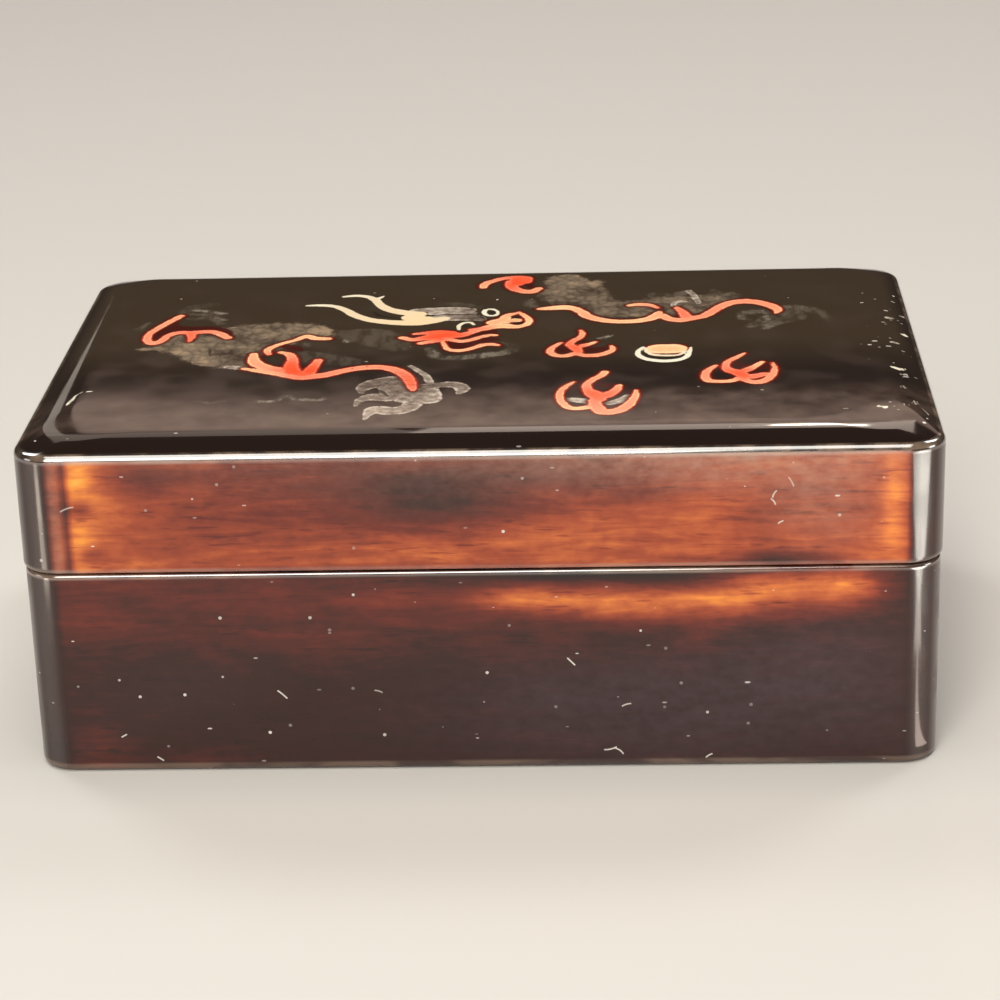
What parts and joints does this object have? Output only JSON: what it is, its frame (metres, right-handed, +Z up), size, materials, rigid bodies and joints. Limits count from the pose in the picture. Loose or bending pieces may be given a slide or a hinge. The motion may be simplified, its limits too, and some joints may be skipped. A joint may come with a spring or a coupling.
{
  "type": "lacquer trinket box",
  "caption": "Rectangular lacquered wooden trinket box with rounded corners, a lift-off lid and a painted dragon among clouds on the lid's raised panel.",
  "frame": {"origin": "middle of the underside, on the surface the box stands on", "axes": "+X along the box's width, +Y towards its back, +Z up towards the lid; the painting reads upright seen from -Y"},
  "size_m": [0.14, 0.089, 0.054],
  "materials": {
    "base_lacquer": "polished red-brown lacquer over wood with horizontal grain",
    "lid_lacquer": "polished black-brown lacquer with a painted panel, red-brown and orange lacquer on its walls"
  },
  "bodies": {
    "root": {"base": "base_lacquer", "lid": "lid_lacquer"}
  },
  "joints": []
}
